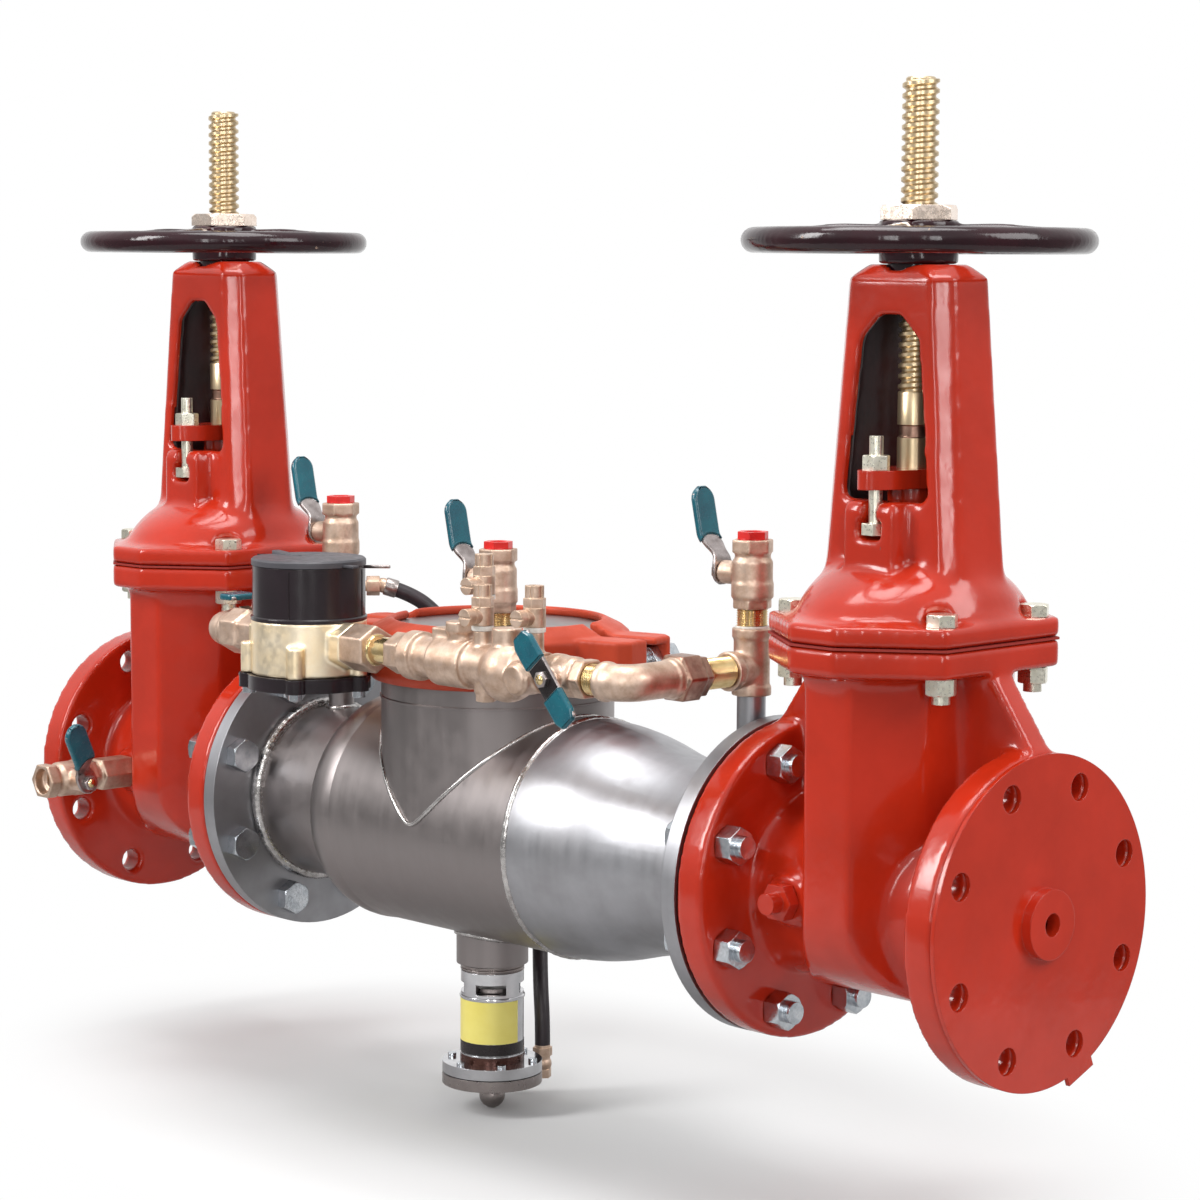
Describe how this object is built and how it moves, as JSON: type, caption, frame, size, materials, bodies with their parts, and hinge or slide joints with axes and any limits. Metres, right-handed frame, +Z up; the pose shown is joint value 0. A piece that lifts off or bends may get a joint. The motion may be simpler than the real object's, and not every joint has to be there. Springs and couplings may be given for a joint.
{
  "type": "reduced pressure detector assembly",
  "caption": "Horizontal backflow preventer between two rising-stem gate valves, with a metered bypass line and a relief valve underneath",
  "frame": {"origin": "centre of the inlet flange face", "axes": "+X runs with the flow, +Y to the rear away from the bypass line, +Z up along the valve stems"},
  "size_m": [1.013, 0.297, 0.7955],
  "materials": {
    "red_enamel": "gloss enamel",
    "coral_enamel": "matt powder coat",
    "stainless": "satin, pickled",
    "bright_zinc": "bright zinc plate",
    "yellow_zinc": "yellow zinc plate",
    "black_rubber": "matt",
    "bronze": "cast, satin",
    "pale_bronze": "bead blasted",
    "stem_bronze": "machined",
    "wheel_black": "gloss",
    "graphite": "matt",
    "spring_steel": "satin",
    "hose_black": "ribbed matt",
    "black_polymer": "semi matt",
    "grey_polymer": "semi matt",
    "red_polymer": "gloss",
    "teal_handle": "steel with a dipped teal sleeve"
  },
  "bodies": {
    "assembly": {"main_case": "stainless", "access_cover": "stainless", "coupling_half_front": "coral_enamel", "coupling_half_rear": "coral_enamel", "coupling_bolts": "bright_zinc", "gaskets": "black_rubber", "flange_bolts": "bright_zinc", "inlet_valve_body": "red_enamel", "outlet_valve_body": "red_enamel", "inlet_bonnet": "red_enamel", "outlet_bonnet": "red_enamel", "bonnet_bolts": "yellow_zinc", "gland_followers": "red_enamel", "gland_bolts": "yellow_zinc", "stem_packing": "graphite", "body_side_plug": "red_enamel", "outlet_blanking_plate": "red_enamel", "relief_valve_body": "stainless", "relief_diaphragm": "black_rubber", "relief_cover": "stainless", "small_screws": "bright_zinc", "hose_fittings": "bronze", "sensing_hose": "hose_black", "meter_body": "pale_bronze", "meter_bottom_plate": "black_polymer", "meter_register": "black_polymer", "bypass_check_body": "bronze", "bypass_pipework": "bronze", "shutoff_bodies": "bronze", "test_cock_bodies": "bronze", "small_cock_bodies": "bronze", "outlet_plugs": "red_polymer", "first_check_seat": "stainless", "second_check_seat": "stainless", "check_springs": "spring_steel"},
    "inlet_wheel": {"inlet_handwheel": "wheel_black", "inlet_yoke_nut": "wheel_black", "inlet_wheel_nut": "bronze"},
    "inlet_gate": {"inlet_stem": "stem_bronze", "inlet_wedge": "bronze"},
    "outlet_wheel": {"outlet_handwheel": "wheel_black", "outlet_yoke_nut": "wheel_black", "outlet_wheel_nut": "bronze"},
    "outlet_gate": {"outlet_stem": "stem_bronze", "outlet_wedge": "bronze"},
    "inlet_valve_cock_lever": {"inlet_valve_cock_handle": "teal_handle"},
    "case_inlet_cock_lever": {"case_inlet_cock_handle": "teal_handle"},
    "cover_cock_lever": {"cover_cock_handle": "teal_handle"},
    "case_outlet_cock_lever": {"case_outlet_cock_handle": "teal_handle"},
    "bypass_inlet_shutoff_wing": {"bypass_inlet_shutoff_handle": "teal_handle"},
    "bypass_outlet_shutoff_wing": {"bypass_outlet_shutoff_handle": "teal_handle"},
    "first_small_stem": {"first_small_cock_stem": "bronze"},
    "second_small_stem": {"second_small_cock_stem": "bronze"},
    "third_small_stem": {"third_small_cock_stem": "bronze"},
    "first_clapper": {"first_check_clapper": "stainless"},
    "second_clapper": {"second_check_clapper": "stainless"},
    "relief_stem": {"relief_plunger": "stainless", "relief_spring": "spring_steel"},
    "register_lid": {"meter_lid": "grey_polymer"},
    "dial_pointer": {"meter_pointer": "red_polymer"}
  },
  "joints": [
    {"name": "inlet_wheel_spin", "type": "hinge", "parent": "assembly", "child": "inlet_wheel", "pos_m": [0.1143, 0, 0.453], "axis": [0, 0, -1], "range_deg": [0, 5400]},
    {"name": "inlet_stem_slide", "type": "slide", "parent": "assembly", "child": "inlet_gate", "axis": [0, 0, -1], "range_m": [0, 0.106]},
    {"name": "outlet_wheel_spin", "type": "hinge", "parent": "assembly", "child": "outlet_wheel", "pos_m": [0.8813, 0, 0.453], "axis": [0, 0, -1], "range_deg": [0, 5400]},
    {"name": "outlet_stem_slide", "type": "slide", "parent": "assembly", "child": "outlet_gate", "axis": [0, 0, -1], "range_m": [0, 0.106]},
    {"name": "inlet_valve_cock_turn", "type": "hinge", "parent": "assembly", "child": "inlet_valve_cock_lever", "pos_m": [0.0623, -0.1315, 0], "axis": [-1, 0, 0], "range_deg": [-60, 30]},
    {"name": "case_inlet_cock_turn", "type": "hinge", "parent": "assembly", "child": "case_inlet_cock_lever", "pos_m": [0.2678, 0, 0.2145], "axis": [-1, 0, 0], "range_deg": [0, 90]},
    {"name": "cover_cock_turn", "type": "hinge", "parent": "assembly", "child": "cover_cock_lever", "pos_m": [0.4598, 0, 0.1895], "axis": [-1, 0, 0], "range_deg": [0, 90]},
    {"name": "case_outlet_cock_turn", "type": "hinge", "parent": "assembly", "child": "case_outlet_cock_lever", "pos_m": [0.7308, 0, 0.2145], "axis": [-1, 0, 0], "range_deg": [0, 90]},
    {"name": "bypass_inlet_shutoff_turn", "type": "hinge", "parent": "assembly", "child": "bypass_inlet_shutoff_wing", "pos_m": [0.2678, -0.08204, 0.146], "axis": [0, 0, 1], "range_deg": [0, 90]},
    {"name": "bypass_outlet_shutoff_turn", "type": "hinge", "parent": "assembly", "child": "bypass_outlet_shutoff_wing", "pos_m": [0.67334, -0.128, 0.146], "axis": [0, -1, 0], "range_deg": [-41, 49]},
    {"name": "first_small_cock_turn", "type": "hinge", "parent": "assembly", "child": "first_small_stem", "pos_m": [0.5828, -0.138, 0.1815], "axis": [0, -1, 0], "range_deg": [0, 90]},
    {"name": "second_small_cock_turn", "type": "hinge", "parent": "assembly", "child": "second_small_stem", "pos_m": [0.6378, -0.138, 0.185], "axis": [0, -1, 0], "range_deg": [0, 90]},
    {"name": "third_small_cock_turn", "type": "hinge", "parent": "assembly", "child": "third_small_stem", "pos_m": [0.5603, -0.116, 0.201], "axis": [0, -1, 0], "range_deg": [0, 90]},
    {"name": "first_check_swing", "type": "hinge", "parent": "assembly", "child": "first_clapper", "pos_m": [0.3918, 0, 0.066], "axis": [0, -1, 0], "range_deg": [0, 55], "stiffness_Nm_per_rad": 0.6, "springref_deg": -34.38},
    {"name": "second_check_swing", "type": "hinge", "parent": "assembly", "child": "second_clapper", "pos_m": [0.5758, 0, 0.066], "axis": [0, -1, 0], "range_deg": [0, 55], "stiffness_Nm_per_rad": 0.6, "springref_deg": -34.38},
    {"name": "relief_plunger_lift", "type": "slide", "parent": "assembly", "child": "relief_stem", "axis": [0, 0, 1], "range_m": [0, 0.004], "stiffness_N_per_m": 1500, "springref_m": -0.01, "deforming": ["relief_spring"]},
    {"name": "meter_lid_hinge", "type": "hinge", "parent": "assembly", "child": "register_lid", "pos_m": [0.3378, -0.128, 0.2075], "axis": [0, -1, 0], "range_deg": [0, 110]},
    {"name": "dial_pointer_spin", "type": "hinge", "parent": "assembly", "child": "dial_pointer", "pos_m": [0.3834, -0.128, 0.198], "axis": [0, 0, -1], "continuous": true}
  ],
  "couplings": [
    {"joint": "inlet_stem_slide", "follows": "inlet_wheel_spin", "m_per_rad": 0.0011141},
    {"joint": "outlet_stem_slide", "follows": "outlet_wheel_spin", "m_per_rad": 0.0011141}
  ]
}
